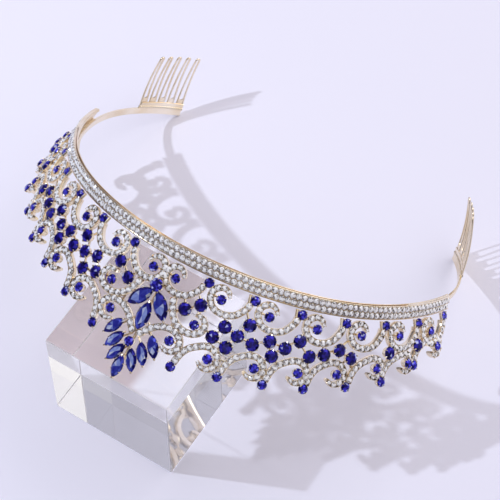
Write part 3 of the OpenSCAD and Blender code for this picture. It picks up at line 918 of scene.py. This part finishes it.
def setting(metal, along, down, out, size, claws):
    """The round collet and claws that hold a round stone."""
    radius = size / 2
    place = on_face(along, down, out)
    depth = out + SETTING_DEPTH
    profile = [(share * radius, part * depth) for share, part in SETTING_CUP]
    profile += [(share * radius, height) for share, height in SETTING_RIM]
    metal.add(lathe(profile, SETTING_SIDES), place)
    steps = bent(CLAW_FOOT, CLAW_HEAD, CLAW_SHARE * size + CLAW_RISE)
    radii = [share * CLAW_RADIUS * size ** 0.5 for off, height, share in steps]
    for i in range(claws):
        turn = 2 * math.pi * (i + 0.5) / claws
        places = [((radius + off) * math.cos(turn), (radius + off) * math.sin(turn), height)
                  for off, height, share in steps]
        metal.add(tube(places, radii, CLAW_SIDES), place)


def marquise_setting(metal, along, down, turn, out, size):
    """A pointed collet with a prong at each end and two at each side."""
    place = on_face(along, down, out, turn)
    outline = lens_outline(size, MARQUISE_RIM_SIDES)
    rings = [(MARQUISE_BASE, -(out + MARQUISE_DEPTH))] + MARQUISE_RIM
    points = [(share * x, share * y, height) for share, height in rings for x, y in outline]
    metal.add((points, rings_to_faces(len(rings), len(outline)), None), place)
    top = CLAW_SHARE * size[1] + MARQUISE_RISE
    ends = bent(END_FOOT, END_HEAD, top)
    sides = bent(SIDE_FOOT, SIDE_HEAD, top)
    for hand in (-1, 1):
        reach = hand * size[0] / 2
        metal.add(tube([(0, share * reach, height) for share, height, thick in ends],
                       [thick for share, height, thick in ends], END_SIDES), place)
        for part in SIDE_PLACES:
            own = [p for p in outline if hand * p[0] > 0]
            x, y = min(own, key=lambda p: abs(p[1] - part * size[0] / 2))
            metal.add(tube([(share * x, y, height) for share, height, thick in sides],
                           [thick for share, height, thick in sides], CLAW_SIDES), place)


# The ornament: its metal, its clear stones, and the round stones that share a piece
scrolls = Piece("scrollwork_metal", *GOLD, angle=40)
clears = Piece("scroll_crystals", *CLEAR)
smalls = Piece("small_round_stones", *SMALL_BLUE)
outer = Piece("outer_round_stones", *LARGE_BLUE)


def small_round(along, down, out):
    setting(scrolls, along, down, out, SMALL, SMALL_CLAWS)
    smalls.add(round_stone(SMALL, SMALL_SHADES), on_face(along, down, out) @ tipped(BLUE_TIP))


for i in range(UPPER_COUNT):
    curl = (UPPER_FIRST[0] + i * UPPER_PITCH, UPPER_FIRST[1])
    near = shifted(curl, NEAR_OFFSET)
    scroll_pieces(scrolls, clears, [shifted(curl, knot) for knot in reversed(UPPER_KNOTS)], 0)
    rod(scrolls, curl, shifted(curl, UPPER_BAR))
    if i:
        places = [spot(near[0] + along, down, out) for along, down, out, radius in STEM]
        scrolls.add(tube(places, [row[3] for row in STEM], STEM_SIDES))
    if i < UPPER_COUNT - 1:
        rod(scrolls, near, shifted(curl, NEAR_BAR))
    small_round(*curl, CURL_OUT)
    small_round(*near, NEAR_OUT)

for i, (foot, eye) in enumerate(zip(FOOT_STONES, EYE_STONES)):
    size = eye[2]
    start = shifted(eye, CURL_KNOTS[0], size)
    way = (start[0] - foot[0], start[1] - foot[1])
    knots = [shifted(foot, LEG_START)]
    knots += [(foot[0] + a * way[0], foot[1] + b * way[1]) for a, b in LEG_SHARES]
    knots += [shifted(eye, knot, size) for knot in CURL_KNOTS]
    scroll_pieces(scrolls, clears, knots, (i % 2 + 1) * SCROLL_STEP)
    rod(scrolls, eye, shifted(eye, EYE_BAR, size))
    small_round(*foot)
    small_round(*eye[:2], EYE_OUT)

scroll_pieces(scrolls, clears, FRAME_SCROLL, -SCROLL_STEP)
scroll_pieces(scrolls, clears, FAN_SCROLL, -2 * SCROLL_STEP)
rod(scrolls, FRAME_STONE, FRAME_BAR)
rod(scrolls, FAN_STONE, FAN_BAR)
small_round(*FRAME_STONE)
small_round(*FAN_STONE)

for i, stone in enumerate(ROUND_STONES):
    setting(scrolls, *stone, LARGE, LARGE_CLAWS)
    if i >= OWN_ROUNDS:
        outer.add(round_stone(LARGE, LARGE_SHADES), on_face(*stone) @ tipped(BLUE_TIP))
for a, b in ROUND_BARS:
    rod(scrolls, ROUND_STONES[a], ROUND_STONES[b])
for i, along, down in SCROLL_BARS:
    rod(scrolls, ROUND_STONES[i], (along, down))
for a, b, c, d in TIE_BARS:
    rod(scrolls, (a, b), (c, d))

marquise_setting(scrolls, *PETAL_SIDE, PETAL_SIZE)
for leaf in LEAF_SIDES:
    marquise_setting(scrolls, *leaf, LEAF_SIZE)
scrolls.build("scrollwork")
clears.build()
smalls.build()
outer.build("outer_stones_left", "outer_stones_right")

# The metal on the centre line, which isn't mirrored
spine = Piece("spine_metal", *GOLD, mirror=False, angle=40)
for (down, out), size in ((MIDDLE_PETAL, PETAL_SIZE), (TIP_LEAF, LEAF_SIZE)):
    marquise_setting(spine, 0, down, 0, out, size)
setting(spine, 0, *TOP_ROUND, LARGE, LARGE_CLAWS)
setting(spine, 0, *FAN_ROUND, SMALL, SMALL_CLAWS)
for first, last in CENTRE_BARS:
    rod(spine, (0, first), (0, last), CENTRE_RADIUS)
places = [spot(0, down, out) for down, out, radius in TIP_POINT]
spine.add(tube(places, [row[2] for row in TIP_POINT], ROD_SIDES))
spine.build()


def single(name, nodes, look, shape, matrix, mirror=True):
    """A stone that is a piece of its own, or a mirrored pair of them."""
    piece = Piece(name, *look, mirror=mirror)
    piece.add(shape, matrix)
    piece.build(*nodes)


for name, place, size in (("top_round", TOP_ROUND, LARGE), ("fan_round", FAN_ROUND, SMALL)):
    stone = round_stone(size, SMALL_SHADES)
    single(f"{name}_stone", [name], SMALL_BLUE, stone, on_face(0, *place), mirror=False)
for name, place, size in (("petal_middle", MIDDLE_PETAL, PETAL_SIZE), ("leaf_tip", TIP_LEAF, LEAF_SIZE)):
    single(f"{name}_stone", [name], MARQUISE_BLUE, marquise(size), on_face(0, *place), mirror=False)
along, down, turn, out = PETAL_SIDE
single("petal_side_stones", ["petal_left", "petal_right"], MARQUISE_BLUE, marquise(PETAL_SIZE),
       on_face(along, down, out, turn))
for i, (along, down, turn, out) in enumerate(LEAF_SIDES, 1):
    pair = [f"leaf_left_{i}", f"leaf_right_{i}"]
    single(f"leaf_stones_{i}", pair, MARQUISE_BLUE, marquise(LEAF_SIZE), on_face(along, down, out, turn))
for i, place in enumerate(ROUND_STONES[:OWN_ROUNDS], 1):
    stone = round_stone(LARGE, LARGE_SHADES)
    seat = on_face(*place, ROUND_TURN * (i - 1)) @ tipped(BLUE_TIP)
    single(f"round_stones_{i}", [f"round_left_{i}", f"round_right_{i}"], LARGE_BLUE, stone, seat)

# The band's two staggered rows of clear stones, and the beads that hold them
rows = Piece("band_crystals", *CLEAR)
middle = Piece("band_middle_crystal", *CLEAR, mirror=False)
beads = Piece("band_beads", *GOLD, angle=60)
for height, shift in BAND_ROWS:
    count = int((BAND_REACH - 1) / CLEAR_PITCH - shift) + 1
    for i in range(count):
        along = (i + shift) * CLEAR_PITCH
        stone = round_stone(BAND_STONE, CLEAR_SHADES, CLEAR_SIDES)
        seat = on_band(along, height, BAND_STONE_OUT) @ tipped(CLEAR_TIP)
        (rows if along else middle).add(stone, seat)
        for offset in (-BAND_BEAD_OFFSET, BAND_BEAD_OFFSET):
            beads.add(bead(BAND_BEAD), on_band(along + CLEAR_PITCH / 2, height + offset, BAND_BEAD_OUT))
rows.build()
middle.build()
beads.build()


def band_section(distance):
    if abs(distance) < GROOVE_REACH:
        return BAND_SECTION
    return [(out, GROOVE_FILLED if height == GROOVE_FLOOR else height) for out, height in BAND_SECTION]


def spine_section(distance):
    swing = SPINE_SWING * math.cos(2 * math.pi * distance / SPINE_PITCH)
    radius = SPINE_RADIUS * (1 - SPINE_SWING + swing)
    return [(COMB_OUT + x, SPINE_HEIGHT + y) for x, y in ring_outline(radius, SPINE_SIDES)]


def comb_root_section(distance):
    lean = math.tan(math.radians(TOOTH_LEAN))
    return [(COMB_OUT + side - lean * height, SPINE_HEIGHT + height) for side, height in COMB_ROOT]


def tooth(metal, distance, rake):
    """A slotted tooth: one wire up, round the tip and down again, closed by a plate at its root."""
    place, heading = plan(distance)
    matrix = (Matrix.Translation(place + COMB_OUT * outward(heading) + Vector((0, 0, SPINE_HEIGHT)))
              @ Matrix.Rotation(heading, 4, "Z") @ Matrix.Rotation(math.radians(-TOOTH_LEAN), 4, "X")
              @ Matrix.Rotation(math.radians(-rake), 4, "Y"))
    top = TOOTH_LENGTH - TOOTH_TIP

    def bowed(x, height):
        share = height / TOOTH_LENGTH
        return Vector((x, -TOOTH_BOW * 4 * share * (1 - share), height))

    rise = [top * i / TOOTH_STEPS for i in range(TOOTH_STEPS + 1)]
    half = [TOOTH_ROOT - TOOTH_WIRE + (TOOTH_TIP - TOOTH_ROOT) * h / top for h in rise]
    up = [bowed(-w, h) for w, h in zip(half, rise)]
    bend = [bowed(-half[-1] * math.cos(t), top + half[-1] * math.sin(t))
            for t in (math.radians(turn) for turn in TOOTH_BEND)]
    down = [bowed(w, h) for w, h in zip(reversed(half), reversed(rise))]
    wire = up + bend + down
    metal.add(tube(wire, [TOOTH_WIRE] * len(wire), ROD_SIDES, helper=(0, 1, 0)), matrix)
    sides = (-PLATE_HALF, PLATE_HALF)
    points = [bowed(x, h) + Vector((0, side, 0)) for side in sides for x, h in TOOTH_PLATE]
    metal.add((points, rings_to_faces(len(sides), len(TOOTH_PLATE)), None), matrix)


band = Piece("band_metal", *GOLD, mirror=False, angle=35)
band.add(sweep(band_section, -BAND_REACH, BAND_REACH, BAND_SWEEP))
band.add(sweep(lambda distance: STRIP_SECTION, -STRIP_REACH, STRIP_REACH, BAND_SWEEP))
band.build("head_band")
combs = Piece("comb_metal", *GOLD, angle=50)
combs.add(sweep(spine_section, COMB_MIDDLE - COMB_REACH, COMB_MIDDLE + COMB_REACH, SPINE_SWEEP))
combs.add(sweep(comb_root_section, COMB_MIDDLE - COMB_REACH, COMB_MIDDLE + COMB_REACH, ROOT_SWEEP))
for i in range(TOOTH_COUNT):
    distance = COMB_MIDDLE + (i - TOOTH_COUNT // 2) * TOOTH_PITCH
    tooth(combs, distance, TOOTH_RAKE - i * TOOTH_FAN)
combs.build()

# The clear block, with its sharp edges eased by a hair
bpy.ops.mesh.primitive_cube_add(size=1)
block = bpy.context.active_object
block.name = "clear_block"
block.data.transform(Matrix.Diagonal((*(MM * (side - BLOCK_SHRINK) for side in BLOCK_SIZE), 1)))
x, y = BLOCK_MIDDLE
block.data.transform(Matrix.Translation((MM * x, MM * y, MM * BLOCK_SIZE[2] / 2)))
edge = block.modifiers.new("eased_edges", "BEVEL")
edge.width = BLOCK_BEVEL * MM
edge.segments = 1
edge.material = 1
block.data.materials.append(block_material())
block.data.materials.append(edge_material())
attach(block, "root")
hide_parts("display_block")

# The table, a hair under the block
bpy.ops.mesh.primitive_plane_add(size=TABLE_SIDE)
table = bpy.context.active_object
table.name = "table"
table.location.z = -TABLE_DROP * MM
table.data.materials.append(table_material())


def towards(tree, where, direction):
    """How far a direction of view points towards another one."""
    node = tree.nodes.new("ShaderNodeVectorMath")
    node.operation = "DOT_PRODUCT"
    node.inputs[1].default_value = direction
    tree.links.new(where, node.inputs[0])
    return node.outputs["Value"]


def studio():
    """A soft pale studio, brighter above, behind and to one side than in front."""
    world = bpy.data.worlds.new("studio")
    world.use_nodes = True
    tree = world.node_tree
    where = coordinates(tree, "Generated")
    wash = ramp(tree, towards(tree, where, WASH_TOWARDS), WASH_COLOURS)
    patches = ramp(tree, noise(tree, PATCH_SCALE, where, PATCH_DETAIL), PATCH_COLOURS)
    window = ramp(tree, towards(tree, where, WINDOW_TOWARDS), WINDOW_COLOURS)
    soft = blended(tree, 1, wash, patches, "MULTIPLY")
    background = tree.nodes["Background"]
    feed(tree, background.inputs["Color"], blended(tree, 1, soft, window, "MULTIPLY"))
    background.inputs["Strength"].default_value = STUDIO_STRENGTH
    return world


bpy.context.scene.world = studio()

for name, direction, distance, size, watts, colour in LAMPS:
    light = bpy.data.lights.new(name, "AREA")
    light.size = size
    light.energy = watts
    light.color = colour
    lamp = bpy.data.objects.new(name, light)
    lamp.location = Vector(direction).normalized() * distance
    lamp.rotation_euler = Vector(direction).to_track_quat("Z", "Y").to_euler()
    bpy.context.scene.collection.objects.link(lamp)

camera = bpy.data.cameras.new("camera")
camera.lens = CAMERA_LENS
camera.sensor_width = CAMERA_SENSOR
viewpoint = bpy.data.objects.new("camera", camera)
viewpoint.location = CAMERA_PLACE
viewpoint.rotation_euler = [math.radians(turn) for turn in CAMERA_TURN]
bpy.context.scene.collection.objects.link(viewpoint)
bpy.context.scene.camera = viewpoint
bpy.context.scene.view_settings.view_transform = "Standard"
